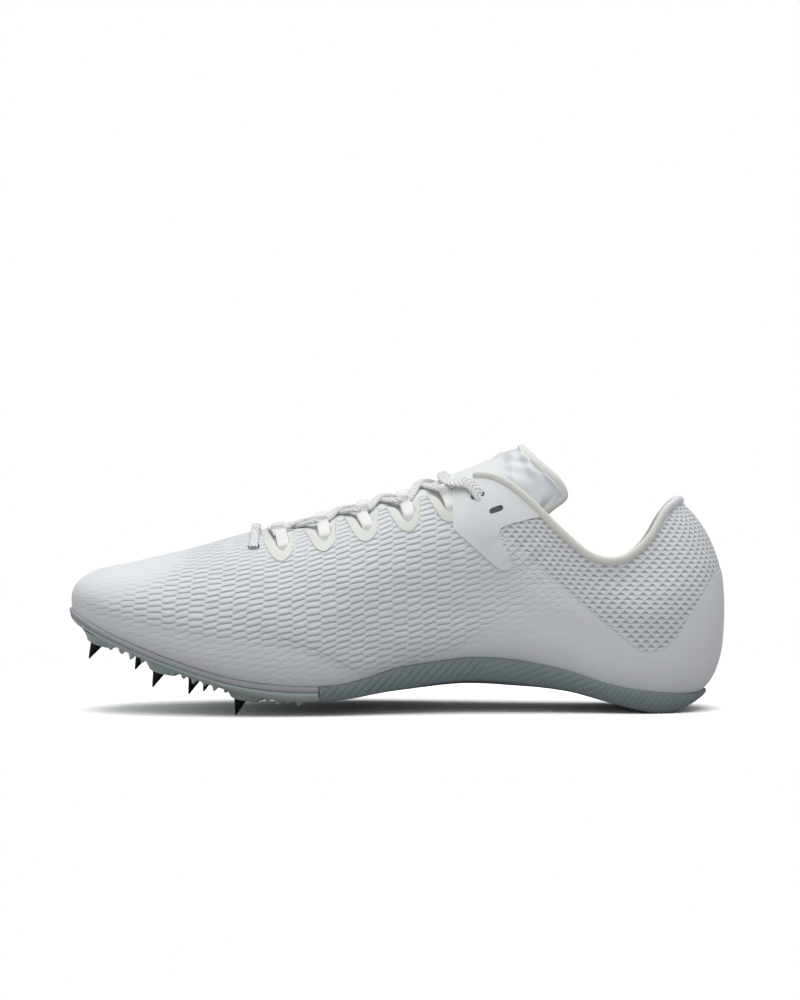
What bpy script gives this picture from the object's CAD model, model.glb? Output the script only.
"""Track spike shoe for the right foot: its looks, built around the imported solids.

Lengths are millimetres in the last's own frame: X runs from the toe tip to the heel, Z up from the floor, and
the medial side faces -Y. Bench turns them into metres in the row frame. Shares are thousandths of a named
size.
"""

import logging
from dataclasses import dataclass
from enum import Enum
from functools import cached_property
from typing import Any, Callable, Sequence

import bmesh
import bpy
import numpy as np
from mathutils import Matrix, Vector


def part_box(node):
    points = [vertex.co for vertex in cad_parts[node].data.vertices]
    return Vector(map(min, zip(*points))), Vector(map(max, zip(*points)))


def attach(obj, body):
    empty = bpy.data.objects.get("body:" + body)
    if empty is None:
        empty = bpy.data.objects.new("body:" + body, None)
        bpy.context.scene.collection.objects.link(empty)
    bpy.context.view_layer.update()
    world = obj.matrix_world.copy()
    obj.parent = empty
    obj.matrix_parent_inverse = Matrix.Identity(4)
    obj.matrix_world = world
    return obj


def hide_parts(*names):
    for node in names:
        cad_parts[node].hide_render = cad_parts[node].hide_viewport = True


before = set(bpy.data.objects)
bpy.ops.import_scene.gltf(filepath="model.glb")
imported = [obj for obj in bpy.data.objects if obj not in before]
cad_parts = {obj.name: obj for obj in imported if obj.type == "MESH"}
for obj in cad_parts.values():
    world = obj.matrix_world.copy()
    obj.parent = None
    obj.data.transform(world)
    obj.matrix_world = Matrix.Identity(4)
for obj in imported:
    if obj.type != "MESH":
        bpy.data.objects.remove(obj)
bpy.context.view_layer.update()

LOG = logging.getLogger("spike_shoe")
Array = np.ndarray
Piece = bpy.types.Object
Socket = bpy.types.NodeSocket
Tree = bpy.types.NodeTree

MM = 0.001
PER_MILLE = 0.001
TAU = 2 * np.pi
# Points nearer than MERGE are one, and edges under SLIVER are dropped, in metres
MERGE = 2e-6
SLIVER = 1e-7
UP = np.array([0.0, 0.0, 1.0])

# Sections of the last from the toe tip to the heel back, in thousandths: x and top_x of the length, heel the
# share of the heel's sizes, medial, lateral, centre and half of the width, joint_m and joint_l of the toe's
# joint height, bulge and rise of their sizes, top_z of the height, drop of the lateral drop, thick of the
# sole, full of the rise above the widest line, lean in degrees
SECTION_COLUMNS = (
    "x", "heel", "medial", "lateral", "joint_m", "joint_l", "bulge", "rise",
    "top_x", "top_z", "centre", "half", "drop", "thick", "full", "lean")
SECTION_ROWS = (
    (2, 0, -94, -94, 1000, 1000, 60, 175, 56, 599, -83, 0, 0, 450, 550, 14),
    (14, 0, -198, 21, 942, 942, 100, 275, 65, 603, -83, 0, 0, 560, 550, 13),
    (50, 0, -297, 182, 818, 818, 300, 475, 88, 614, -78, 0, 0, 540, 550, 10),
    (106, 0, -365, 302, 662, 662, 600, 600, 130, 641, -68, 0, 0, 510, 540, 7),
    (176, 0, -411, 385, 500, 500, 800, 700, 194, 682, -52, 0, 0, 530, 520, 5),
    (254, 0, -443, 443, 360, 360, 900, 800, 273, 742, -31, 0, 0, 590, 500, 7),
    (334, 0, -432, 479, 293, 293, 900, 850, 342, 769, -10, 99, 0, 670, 480, 24),
    (415, 0, -385, 484, 300, 289, 900, 925, 419, 827, 0, 130, 0, 690, 460, 32),
    (500, 0, -323, 458, 449, 356, 900, 850, 500, 880, 10, 156, 0, 950, 440, 38),
    (585, 0, -276, 417, 531, 411, 1000, 850, 581, 947, 21, 188, 0, 990, 420, 44),
    (634, 0, -260, 391, 540, 422, 1000, 900, 620, 971, 21, 214, 0, 1020, 410, 50),
    (676, 0, -255, 370, 516, 418, 1000, 975, 655, 950, 21, 234, 0, 1030, 400, 58),
    (718, 250, -278, 386, 471, 396, 900, 1050, 694, 895, 23, 284, 300, 960, 390, 68),
    (764, 600, -326, 423, 400, 351, 850, 1150, 739, 802, 26, 358, 700, 870, 380, 77),
    (810, 1000, -398, 492, 302, 289, 850, 1300, 789, 715, 31, 445, 1000, 820, 370, 83),
    (852, 1000, -406, 477, 242, 240, 900, 1400, 838, 697, 31, 422, 1000, 870, 360, 82),
    (891, 1000, -391, 445, 209, 209, 1060, 1500, 880, 783, 31, 352, 900, 945, 350, 74),
    (926, 1000, -336, 383, 191, 191, 1350, 1650, 907, 909, 28, 242, 600, 780, 340, 60),
    (954, 1000, -219, 258, 189, 189, 1700, 1750, 924, 966, 25, 125, 150, 450, 335, 48),
    (968, 1000, 23, 23, 198, 198, 1800, 1800, 931, 978, 23, 0, 0, 290, 330, 42),
)
LAST_SECTION = len(SECTION_ROWS) - 1
RING = 2 * LAST_SECTION
THROAT_SECTION = 5


class Side(Enum):
    """A side of the shoe, with the sign of its Y."""

    MEDIAL = -1
    LATERAL = 1


def catmull(rows: Array, places: Array) -> Array:
    """Uniform Catmull-Rom through rows, whose slope at a row is half the step between its neighbours.

    Args:
        rows: control rows, one for each whole place.
        places: where to read it, from 0 to the last row.

    Returns:
        One interpolated row for each place.
    """
    rows = np.asarray(rows, float)
    padded = np.vstack([2 * rows[0] - rows[1], rows, 2 * rows[-1] - rows[-2]])
    base = np.clip(np.floor(places).astype(int), 0, len(rows) - 2)
    t = (np.asarray(places) - base)[:, None]
    a, b, c, d = (padded[base + step] for step in range(4))
    return 0.5 * (2 * b + (c - a) * t + (2 * a - 5 * b + 4 * c - d) * t**2 + (3 * b - a - 3 * c + d) * t**3)


def unit(vectors: Array) -> Array:
    """The vectors at length 1."""
    return vectors / np.maximum(np.linalg.norm(vectors, axis=-1, keepdims=True), 1e-9)


def smoothstep(low: float, high: float, value: Array) -> Array:
    """0 below low, 1 above high, and the cubic 3t^2 - 2t^3 between them."""
    t = np.clip((value - low) / (high - low), 0, 1)
    return t * t * (3 - 2 * t)


def travelled(points: Array, axis: int = 0) -> Array:
    """Length along a line of points from its start, or along every line of a grid: the sum of its steps."""
    steps = np.linalg.norm(np.diff(points, axis=axis), axis=-1)
    return np.insert(np.cumsum(steps, axis=axis), 0, 0, axis=axis)


def rounded(corners: Array, radii: Array, steps: int = 7) -> Array:
    """A closed outline with each corner replaced by a quadratic curve between points on its two edges.

    Args:
        corners: the outline's corners, one row each.
        radii: how far along its edges each corner's curve starts and ends, at most 0.45 of the edge.
        steps: points on each curve.

    Returns:
        The points of the rounded outline.
    """
    corners = np.asarray(corners, float)
    radii = np.broadcast_to(radii, len(corners))[:, None]
    ends = []
    for turn in (1, -1):
        edge = np.roll(corners, turn, axis=0) - corners
        length = np.maximum(np.linalg.norm(edge, axis=1, keepdims=True), 1e-6)
        ends.append(corners + edge / length * np.minimum(radii, 0.45 * length))
    t = np.linspace(0, 1, steps)[None, :, None]
    start, end = (points[:, None] for points in ends)
    curve = (1 - t) ** 2 * start + 2 * t * (1 - t) * corners[:, None] + t**2 * end
    return curve.reshape(-1, 2)


@dataclass(frozen=True)
class Sheet:
    """A grid of points in millimetres, with a place on the cloth in millimetres for each."""

    points: Array
    cloth: Array | None = None


@dataclass(frozen=True)
class Last:
    """The last: its driving sizes in millimetres, and its outer surface as a function of two places."""

    length: float = 284.0
    ball_width: float = 96.0
    heel_width: float = 64.0
    instep_height: float = 104.0
    heel_height: float = 93.0
    toe_joint: float = 45.0
    sole_thickness: float = 10.0
    bulge: float = 5.0
    widest_rise: float = 20.0
    lateral_drop: float = 4.6
    top_reach: float = 0.43
    wall: float = 1.6

    @cached_property
    def ring(self) -> dict[str, Array]:
        """The sections' measures in millimetres, up the medial side and back along the lateral side."""
        medial = {name: np.array([row[i] for row in SECTION_ROWS], float) * PER_MILLE
                  for i, name in enumerate(SECTION_COLUMNS)}
        whole = {name: np.concatenate([values, values[-2:0:-1]]) for name, values in medial.items()}
        lateral = np.arange(RING) > LAST_SECTION
        width = self.ball_width + (self.heel_width - self.ball_width) * whole["heel"]
        height = self.instep_height + (self.heel_height - self.instep_height) * whole["heel"]
        return {
            "x": whole["x"] * self.length,
            "y": np.where(lateral, whole["lateral"], whole["medial"]) * width,
            "joint": np.where(lateral, whole["joint_l"], whole["joint_m"]) * self.toe_joint,
            "bulge": whole["bulge"] * self.bulge,
            "rise": whole["rise"] * self.widest_rise,
            "top_x": whole["top_x"] * self.length,
            "top_z": whole["top_z"] * height - lateral * whole["drop"] * self.lateral_drop,
            "centre": whole["centre"] * width,
            "half": whole["half"] * width,
            "thick": whole["thick"] * self.sole_thickness,
            "full": whole["full"],
            "lean": np.radians(whole["lean"] / PER_MILLE),
        }

    def station(self, u: Array) -> dict[str, Array]:
        """The measures at places on the ring: a closed Catmull-Rom, cubic between two sections."""
        base = np.floor(u).astype(int)
        t = u - base
        result = {}
        for name, values in self.ring.items():
            a, b, c, d = (values[(base + step) % RING] for step in (-1, 0, 1, 2))
            result[name] = 0.5 * (2 * b + (c - a) * t + (2 * a - 5 * b + 4 * c - d) * t**2
                                  + (3 * b - a - 3 * c + d) * t**3)
        result["half"] = np.maximum(result["half"], 0)
        return result

    def outward(self, u: Array) -> Array:
        """Level unit vectors square to the plan outline, from the step between two near stations."""
        before, after = self.station(u - 0.05), self.station(u + 0.05)
        return unit(np.stack([after["y"] - before["y"], before["x"] - after["x"], 0 * u], axis=-1))

    def surface(self, u: Array, v: Array) -> Array:
        """The outer surface, two cubic Bezier curves at each place u.

        The first, for v from 0 to 1, runs from the joint with the sole to the widest line, and the second,
        for v from 1 to 2, on to the top line, where it comes in at the section's lean.

        Args:
            u: places on the ring.
            v: places up the profile.

        Returns:
            Points, one row of the grid for each u and one column for each v.
        """
        s = self.station(u)
        out = self.outward(u)
        side = np.where(u % RING > LAST_SECTION, 1.0, -1.0)
        joint = np.stack([s["x"], s["y"], s["joint"]], axis=-1)
        widest = joint + out * s["bulge"][:, None] + UP * s["rise"][:, None]
        top = np.stack([s["top_x"], s["centre"] + side * s["half"], s["top_z"]], axis=-1)
        near_joint = joint + (widest - joint) * np.array([0.75, 0.75, 0.18])
        under_widest = widest - UP * 0.5 * s["rise"][:, None]
        over_widest = widest + UP * (s["full"] * (top - widest)[:, 2])[:, None]
        level = unit((widest - top) * np.array([1.0, 1.0, 0.0]))
        reach = self.top_reach * np.linalg.norm(widest - top, axis=1)
        near_top = (top + level * (reach * np.cos(s["lean"]))[:, None]
                    - UP * (reach * np.sin(s["lean"]))[:, None])
        lower = bezier((joint, near_joint, under_widest, widest), np.clip(v, 0, 1))
        upper = bezier((widest, over_widest, near_top, top), np.clip(v - 1, 0, 1))
        return np.where((v < 1)[None, :, None], lower, upper)

    def place_at(self, x: Array, name: str = "x") -> Array:
        """Medial places where a measure that grows towards the heel reaches a length."""
        places = np.linspace(0, LAST_SECTION, 1200)
        return np.interp(x, self.station(places)[name], places)

    def top_at(self, x: Array, side: Side = Side.MEDIAL) -> Array:
        """Points of the top line at lengths along the shoe."""
        place = self.place_at(np.atleast_1d(x), "top_x")
        return self.surface(place if side is Side.MEDIAL else RING - place, np.array([2.0]))[:, 0]

    def outline(self, shares: Sequence[tuple[float, float]]) -> Array:
        """Points given in thousandths of the length and the instep height, in millimetres."""
        return np.array(shares, float) * PER_MILLE * np.array([self.length, self.instep_height])

    def spot(self, x: float, z: float) -> Array:
        """One point, given as those of an outline are."""
        return self.outline([(x, z)])[0]


def bezier(points: Sequence[Array], t: Array) -> Array:
    """Cubic Bezier curves, each point weighted by its Bernstein polynomial, as a grid of curves and steps."""
    t = t[None, :, None]
    weights = ((1 - t) ** 3, 3 * t * (1 - t) ** 2, 3 * t**2 * (1 - t), t**3)
    return sum(weight * point[:, None] for weight, point in zip(weights, points))


@dataclass(frozen=True)
class Crease:
    """A soft trough or ridge placed by hand on the upper: its middle at x and z, its slant in degrees."""

    x: float
    z: float
    length: float
    slant: float
    depth: float
    width: float


@dataclass(frozen=True)
class Skin:
    """The upper's outer surface as worn cloth: the last's, with a rounded crest, soft waves and creases."""

    last: Last
    columns_per_section: int = 14
    lower_rows: int = 14
    upper_rows: int = 42
    crest_rows: int = 20
    crest_passes: int = 60
    base_fall: float = 17.0
    base_reach: float = 60.0
    wave: float = 0.12
    mesh_pitch: float = 4.4
    creases: tuple[Crease, ...] = (
        Crease(196, 73, 13, 38, 0.55, 2.2), Crease(190, 69, 12, 42, -0.4, 2.0),
        Crease(202, 66, 15, 40, 0.4, 2.6), Crease(184, 74, 9, 50, 0.35, 1.8),
        Crease(93, 60, 22, 20, 0.45, 5.0), Crease(104, 50, 26, 12, 0.35, 6.0),
        Crease(72, 58, 24, -35, 0.3, 5.0), Crease(120, 66, 12, 70, 0.3, 3.5),
        Crease(138, 71, 12, 72, 0.25, 3.5), Crease(156, 74, 12, 74, 0.25, 3.5),
        Crease(228, 58, 34, 8, 0.35, 6.0), Crease(248, 50, 30, -6, -0.3, 7.0),
    )

    def sheet(self) -> Sheet:
        """The surface as a grid that closes on itself round the shoe, with its cloth places."""
        count = RING * self.columns_per_section
        u = np.arange(count) / self.columns_per_section
        v = np.concatenate([np.linspace(0, 1, self.lower_rows, endpoint=False),
                            np.linspace(1, 2, self.upper_rows + 1)])
        points = self.with_round_crest(self.last.surface(u, v), u)
        points = points + self.normals(points) * self.relief(points, u, v)[..., None]
        cloth = self.cloth_places(points, u)
        points = np.concatenate([points, points[:1]])
        return Sheet(points, cloth)

    def with_round_crest(self, points: Array, u: Array) -> Array:
        """Rounds the crest ahead of the throat.

        Each cross line runs up the medial side and down the lateral side. Its rows near the crest are
        averaged with their neighbours again and again, and then lifted so that the crest keeps its height.

        Args:
            points: the surface's grid.
            u: the ring place of each column.

        Returns:
            The grid with the rounded crest.
        """
        count = len(u)
        rows = self.crest_rows
        front = np.flatnonzero(u <= THROAT_SECTION)
        back = (count - front) % count
        line = np.concatenate([points[front, -rows - 1:], points[back, -rows - 1:-1][:, ::-1]], axis=1)
        smooth = line.copy()
        for _ in range(self.crest_passes):
            smooth[:, 1:-1] = 0.25 * (smooth[:, :-2] + 2 * smooth[:, 1:-1] + smooth[:, 2:])
        offset = np.abs(np.arange(2 * rows + 1) - rows)[None, :, None]
        lift = (line[:, rows] - smooth[:, rows])[:, None] * np.exp(-(offset / (0.55 * rows)) ** 2)
        behind = smoothstep(THROAT_SECTION - 0.6, THROAT_SECTION, u[front])
        strength = (smoothstep(0.2, 1.4, u[front]) * (1 - behind))[:, None, None]
        fade = 1 - smoothstep(0.6 * rows, rows, offset)
        line = line + (smooth + lift - line) * strength * fade
        result = points.copy()
        result[front, -rows - 1:] = line[:, :rows + 1]
        result[back, -rows - 1:] = line[:, rows:][:, ::-1]
        return result

    def normals(self, points: Array) -> Array:
        """Outward unit normals, the cross product of the grid's two directions."""
        around = np.roll(points, -1, axis=0) - np.roll(points, 1, axis=0)
        return unit(np.cross(around, np.gradient(points, axis=1)))

    def relief(self, points: Array, u: Array, v: Array) -> Array:
        """How far each point stands off the last: waves of three sines, less each crease's Gaussian trough.

        Args:
            points: the surface's grid.
            u: the ring place of each column.
            v: the profile place of each row.

        Returns:
            The height of each point along its normal.
        """
        x, y, z = np.moveaxis(points, -1, 0)
        height = self.wave * (np.sin(x / 7.3 + 0.9 * np.sin(z / 6.1)) * np.sin(z / 8.7 + y / 19)
                              + 0.6 * np.sin(x / 17.1 - z / 11.9) + 0.4 * np.sin((x + 2 * z) / 5.2))
        for crease in self.creases:
            slant = np.radians(crease.slant)
            along = (x - crease.x) * np.cos(slant) + (z - crease.z) * np.sin(slant)
            across = (z - crease.z) * np.cos(slant) - (x - crease.x) * np.sin(slant)
            height = height - crease.depth * np.exp(
                -(across / crease.width) ** 2 - (2 * along / crease.length) ** 2)
        ahead = np.minimum(u, RING - u) < THROAT_SECTION + 0.1
        crest = np.where(ahead[:, None], smoothstep(2.0, 1.86, v)[None], 1.0)
        return height * crest * smoothstep(0, 0.5, v)[None] * smoothstep(2.05, 1.85, v)[None]

    def cloth_places(self, points: Array, u: Array) -> Array:
        """Where each point lies on the cloth, in millimetres.

        Across is the length of the widest line from the toe tip, positive on the medial side, stretched a
        little so that the whole ring holds a whole number of mesh cells and the back of the heel has no seam.
        Up is the girth above the joint, on a base line that falls off from the toe as an exponential.

        Args:
            points: the surface's grid, one column for each u.
            u: the ring place of each column.

        Returns:
            Two cloth measures for each point, with the first column repeated at the end.
        """
        closed = np.concatenate([points, points[:1]])
        widest = closed[:, self.lower_rows]
        along = travelled(widest)
        whole = along[-1]
        fit = np.round(whole / self.mesh_pitch) * self.mesh_pitch / whole
        heel = np.searchsorted(u, LAST_SECTION)
        along = np.where(np.arange(len(along)) > heel, along - whole, along) * fit
        girth = travelled(closed, 1)
        base = closed[:, 0, 2] - self.base_fall * np.exp(-closed[:, 0, 0] / self.base_reach)
        return np.stack([np.repeat(along[:, None], girth.shape[1], axis=1), girth + base[:, None]], axis=-1)


@dataclass(frozen=True)
class Bench:
    """Makes pieces in the row frame from millimetres in the last's frame."""

    shift: Array

    def make(self, name: str, sheets: Sequence[Sheet], closed: bool = True) -> Piece:
        """One mesh of several grids, with doubles merged.

        Args:
            name: the piece's name.
            sheets: its grids.
            closed: whether it is a closed body, whose faces are then turned outwards.

        Returns:
            The new object, at the origin.
        """
        points = np.concatenate([sheet.points.reshape(-1, 3) for sheet in sheets])
        cloth = np.concatenate([
            (np.zeros(sheet.points.shape[:2] + (2,)) if sheet.cloth is None else sheet.cloth).reshape(-1, 2)
            for sheet in sheets])
        faces = []
        start = 0
        for sheet in sheets:
            rows, columns = sheet.points.shape[:2]
            corner = np.arange(rows * columns).reshape(rows, columns) + start
            start += rows * columns
            faces.append(np.stack([corner[:-1, :-1], corner[1:, :-1], corner[1:, 1:], corner[:-1, 1:]], -1))
        loops = np.concatenate([each.reshape(-1, 4) for each in faces]).astype(np.int32)
        mesh = bpy.data.meshes.new(name)
        mesh.vertices.add(len(points))
        mesh.vertices.foreach_set("co", ((points + self.shift) * MM).astype(np.float32).ravel())
        mesh.loops.add(loops.size)
        mesh.loops.foreach_set("vertex_index", loops.ravel())
        mesh.polygons.add(len(loops))
        mesh.polygons.foreach_set("loop_start", np.arange(len(loops), dtype=np.int32) * 4)
        mesh.update(calc_edges=True)
        layer = mesh.uv_layers.new(name="cloth")
        layer.data.foreach_set("uv", cloth[loops.ravel()].astype(np.float32).ravel())
        self.clean(mesh, closed, MERGE)
        return self.link(name, mesh)

    def clean(self, mesh: bpy.types.Mesh, closed: bool, merge: float) -> None:
        """Merges near points and turns faces outwards.

        Args:
            mesh: the mesh, changed in place.
            closed: whether it is a closed body, whose faces have an outside.
            merge: points nearer than this in metres become one, or 0 to keep them all.
        """
        graph = bmesh.new()
        graph.from_mesh(mesh)
        if merge:
            bmesh.ops.remove_doubles(graph, verts=graph.verts, dist=merge)
            bmesh.ops.dissolve_degenerate(graph, edges=graph.edges, dist=SLIVER)
        if closed:
            bmesh.ops.recalc_face_normals(graph, faces=graph.faces)
        graph.to_mesh(mesh)
        graph.free()

    def link(self, name: str, mesh: bpy.types.Mesh) -> Piece:
        """A new object for a mesh, in the scene."""
        piece = bpy.data.objects.new(name, mesh)
        bpy.context.scene.collection.objects.link(piece)
        return piece

    def prism(self, outline: Array, y_from: float, y_to: float) -> Piece:
        """A closed prism across the shoe with the outline of x and z."""
        count = len(outline)
        ends = [np.insert(outline, 1, y, axis=1) for y in (y_from, y_to)]
        points = (np.concatenate(ends) + self.shift) * MM
        near = np.arange(count)
        sides = np.stack([near, np.roll(near, -1), np.roll(near, -1) + count, near + count], axis=1)
        mesh = bpy.data.meshes.new("prism")
        mesh.from_pydata(points, [], [*sides.tolist(), near[::-1].tolist(), (near + count).tolist()])
        self.clean(mesh, True, 0.0)
        return self.link("prism", mesh)

    def apply(self, piece: Piece) -> Piece:
        """Bakes the piece's modifiers into its mesh."""
        depsgraph = bpy.context.evaluated_depsgraph_get()
        mesh = bpy.data.meshes.new_from_object(
            piece.evaluated_get(depsgraph), preserve_all_data_layers=True, depsgraph=depsgraph)
        piece.modifiers.clear()
        old, piece.data = piece.data, mesh
        bpy.data.meshes.remove(old)
        mesh.name = piece.name
        return piece

    def combine(self, piece: Piece, tool: Piece, operation: str = "DIFFERENCE") -> Piece:
        """Cuts the piece by a tool, keeps what lies inside it or joins it on, and removes the tool."""
        modifier = piece.modifiers.new("combine", "BOOLEAN")
        modifier.operation = operation
        modifier.solver = "MANIFOLD"
        modifier.object = tool
        self.apply(piece)
        bpy.data.objects.remove(tool)
        return piece

    def shell(self, name: str, skin: Piece, inner: float, outer: float,
              faces: Sequence["Finish"] = ()) -> Piece:
        """A wall between two heights over an open surface.

        Each point moves along its normal to the outer height, and Solidify gives the wall its thickness
        inwards.

        Args:
            name: the new piece's name.
            skin: the open surface.
            inner: height of the inner face in millimetres.
            outer: height of the outer face.
            faces: the finishes of the outer and the inner face, or none yet.

        Returns:
            The new closed wall.
        """
        mesh = skin.data.copy()
        count = len(mesh.vertices)
        points = np.empty(count * 3, np.float32)
        normals = np.empty(count * 3, np.float32)
        mesh.vertices.foreach_get("co", points)
        mesh.vertex_normals.foreach_get("vector", normals)
        mesh.vertices.foreach_set("co", points + normals * outer * MM)
        piece = self.link(name, mesh)
        for finish in faces:
            mesh.materials.append(finish.material())
        solid = piece.modifiers.new("wall", "SOLIDIFY")
        solid.thickness = (outer - inner) * MM
        solid.offset = -1
        solid.use_even_offset = True
        solid.material_offset = int(len(faces) > 1)
        return self.apply(piece)


def seat(piece: Piece, nodes: Sequence[str], finish: "Finish", angle: float = 40) -> Piece:
    """Finishes a piece: its shading, material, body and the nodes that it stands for.

    Args:
        piece: the finished mesh object.
        nodes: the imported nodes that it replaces.
        finish: its finish, where it has none yet.
        angle: edges sharper than this many degrees stay sharp.

    Returns:
        The piece.
    """
    if not any(piece.data.materials):
        piece.data.materials.clear()
        piece.data.materials.append(finish.material())
    piece.data.shade_smooth()
    piece.data.set_sharp_from_angle(angle=np.radians(angle))
    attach(piece, "root")
    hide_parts(*nodes)
    LOG.info("%s: %d faces, stands for %s", piece.name, len(piece.data.polygons), ", ".join(nodes))
    return piece


def sweep(path: Array, sides: Array, section: Array, scale: Array | None = None) -> Sheet:
    """A closed section carried along a path.

    At each step the section's first axis lies along the step's side vector, squared to the path's direction,
    and its second along their cross product. The cloth places are the length along the path and round the
    section.

    Args:
        path: points of the path.
        sides: a vector for each point, not along the path.
        section: points of the section, in two axes.
        scale: the section's share of its size at each point, one or one for each axis, 0 to close an end.

    Returns:
        The grid of the tube, closed round its section.
    """
    tangent = unit(np.gradient(path, axis=0))
    first = unit(sides - tangent * (sides * tangent).sum(axis=1, keepdims=True))
    second = np.cross(tangent, first)
    ring = np.concatenate([section, section[:1]])
    size = np.ones(len(path)) if scale is None else scale
    size = np.broadcast_to(size.reshape(len(path), -1), (len(path), 2))[:, None]
    points = path[:, None] + (first[:, None] * ring[None, :, :1] * size[..., :1]
                              + second[:, None] * ring[None, :, 1:] * size[..., 1:])
    cloth = np.stack(np.broadcast_arrays(travelled(path)[:, None], travelled(ring)[None]), axis=-1)
    return Sheet(points, cloth)


def closing(count: int, steps: int = 4) -> Array:
    """Section scales along a path whose two ends round off to a point, as a quarter circle does."""
    end = np.minimum(np.arange(count), np.arange(count)[::-1]) / steps
    return np.sqrt(np.clip(1 - (1 - np.clip(end, 0, 1)) ** 2, 0, 1))


def ellipse(wide: float, high: float, count: int, power: float = 2.0) -> Array:
    """A superellipse with half sizes wide and high: cosine and sine to the power of 2 over power."""
    angle = np.arange(count) / count * TAU
    c, s = np.cos(angle), np.sin(angle)
    return np.stack([wide * np.sign(c) * np.abs(c) ** (2 / power),
                     high * np.sign(s) * np.abs(s) ** (2 / power)], axis=1)


def evenly(points: Array, step: float) -> Array:
    """Rows at an even step along a Catmull-Rom through the rows, of which the first three are x, y, z.

    Args:
        points: control rows.
        step: the step along the path in millimetres.

    Returns:
        The interpolated rows.
    """
    fine = np.linspace(0, len(points) - 1, 60 * len(points))
    length = travelled(catmull(points, fine)[:, :3])
    count = max(4, int(length[-1] / step))
    return catmull(points, np.interp(np.linspace(0, length[-1], count), length, fine))


# Finishes

def linear(hex_colour: str) -> tuple[float, float, float, float]:
    """An sRGB hex colour as linear red, green, blue and alpha."""
    value = np.array([int(hex_colour[i:i + 2], 16) for i in (1, 3, 5)]) / 255
    value = np.where(value <= 0.04045, value / 12.92, ((value + 0.055) / 1.055) ** 2.4)
    return (*value.tolist(), 1.0)


def add(tree: Tree, kind: str, inputs: dict[Any, Any] | None = None, output: Any = 0,
        **settings: Any) -> Socket | None:
    """Adds a node with its settings and links.

    Args:
        tree: the material's node tree.
        kind: the node's type, without the words ShaderNode.
        inputs: a socket to link or a value to set for each input, by name or number.
        output: the output wanted, by name or number.
        settings: the node's own properties.

    Returns:
        The wanted output socket, or nothing for a node that ends the tree.
    """
    node = tree.nodes.new("ShaderNode" + kind)
    for name, value in settings.items():
        setattr(node, name, value)
    for key, value in (inputs or {}).items():
        if isinstance(value, bpy.types.NodeSocket):
            tree.links.new(value, node.inputs[key])
        else:
            node.inputs[key].default_value = value
    return node.outputs[output] if node.outputs else None


def math(tree: Tree, operation: str, *values: Any) -> Socket:
    """A math node on values that are sockets or numbers."""
    return add(tree, "Math", dict(enumerate(values)), operation=operation)


def ramp(tree: Tree, value: Socket, span: tuple[float, float] = (0.0, 1.0),
         to: tuple[float, float] = (0.0, 1.0), smooth: bool = False) -> Socket:
    """A value carried from one span to another and held at the ends, straight or as a smooth step."""
    ends = {"Value": value, 1: span[0], 2: span[1], 3: to[0], 4: to[1]}
    return add(tree, "MapRange", ends, interpolation_type="SMOOTHSTEP" if smooth else "LINEAR")


def blend(tree: Tree, share: Socket, first: Any, second: Any, **settings: Any) -> Socket:
    """The first colour turned into the second by a share."""
    return add(tree, "Mix", {0: share, 6: first, 7: second}, output=2, data_type="RGBA", **settings)


@dataclass(frozen=True)
class Finish:
    """A finish of one colour with a fine grain: what every finish of the shoe starts from."""

    name: str
    colour: str
    roughness: float = 0.6
    grain: float = 0.4
    bump: float = 0.3
    mottle: float = 0.04
    extras: tuple[tuple[str, Any], ...] = ()

    def material(self) -> bpy.types.Material:
        """The material, with its shader's own sockets set and its colour and normal linked."""
        if self.name in bpy.data.materials:
            return bpy.data.materials[self.name]
        material = bpy.data.materials.new(self.name)
        material.use_nodes = True
        tree = material.node_tree
        tree.nodes.clear()
        colour, height = self.pattern(tree)
        normal = add(tree, "Bump", {"Strength": self.bump, "Distance": self.grain * MM, "Height": height})
        shader = add(tree, "BsdfPrincipled", {
            "Base Color": colour, "Roughness": self.roughness, "Normal": normal, **dict(self.extras)})
        add(tree, "OutputMaterial", {"Surface": shader})
        return material

    def pattern(self, tree: Tree) -> tuple[Socket, Socket]:
        """The colour and the height that the surface follows: here a grain and a slow mottle."""
        place = add(tree, "TexCoord", output="Object")
        fine = add(tree, "TexNoise", {"Vector": place, "Scale": 1 / (self.grain * MM), "Detail": 3.0})
        slow = add(tree, "TexNoise", {"Vector": place, "Scale": 60.0, "Detail": 2.0})
        return self.tinted(tree, slow), fine

    def tinted(self, tree: Tree, shade: Socket) -> Socket:
        """The colour, darker and lighter by the mottle as the shade goes from 0 to 1."""
        level = ramp(tree, shade, to=(1 - self.mottle, 1 + self.mottle))
        return add(tree, "VectorMath", {0: linear(self.colour)[:3], "Scale": level}, operation="SCALE")


@dataclass(frozen=True)
class Cells:
    """A pattern of rows of cells on the cloth, with sizes in millimetres."""

    width: float
    row: float
    stagger: float

    def local(self, tree: Tree, cloth: Socket) -> tuple[Socket, Socket]:
        """Places inside the cell, from -0.5 to 0.5 along and up it."""
        parts = add(tree, "SeparateXYZ", {0: cloth}).node
        up = math(tree, "DIVIDE", parts.outputs[1], self.row)
        row = math(tree, "FLOOR", up)
        along = math(tree, "DIVIDE", parts.outputs[0], self.width)
        along = math(tree, "MULTIPLY_ADD", row, self.stagger, along)
        across = math(tree, "SUBTRACT", math(tree, "FRACT", along), 0.5)
        rise = math(tree, "SUBTRACT", math(tree, "FRACT", up), 0.5)
        return across, rise


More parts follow.
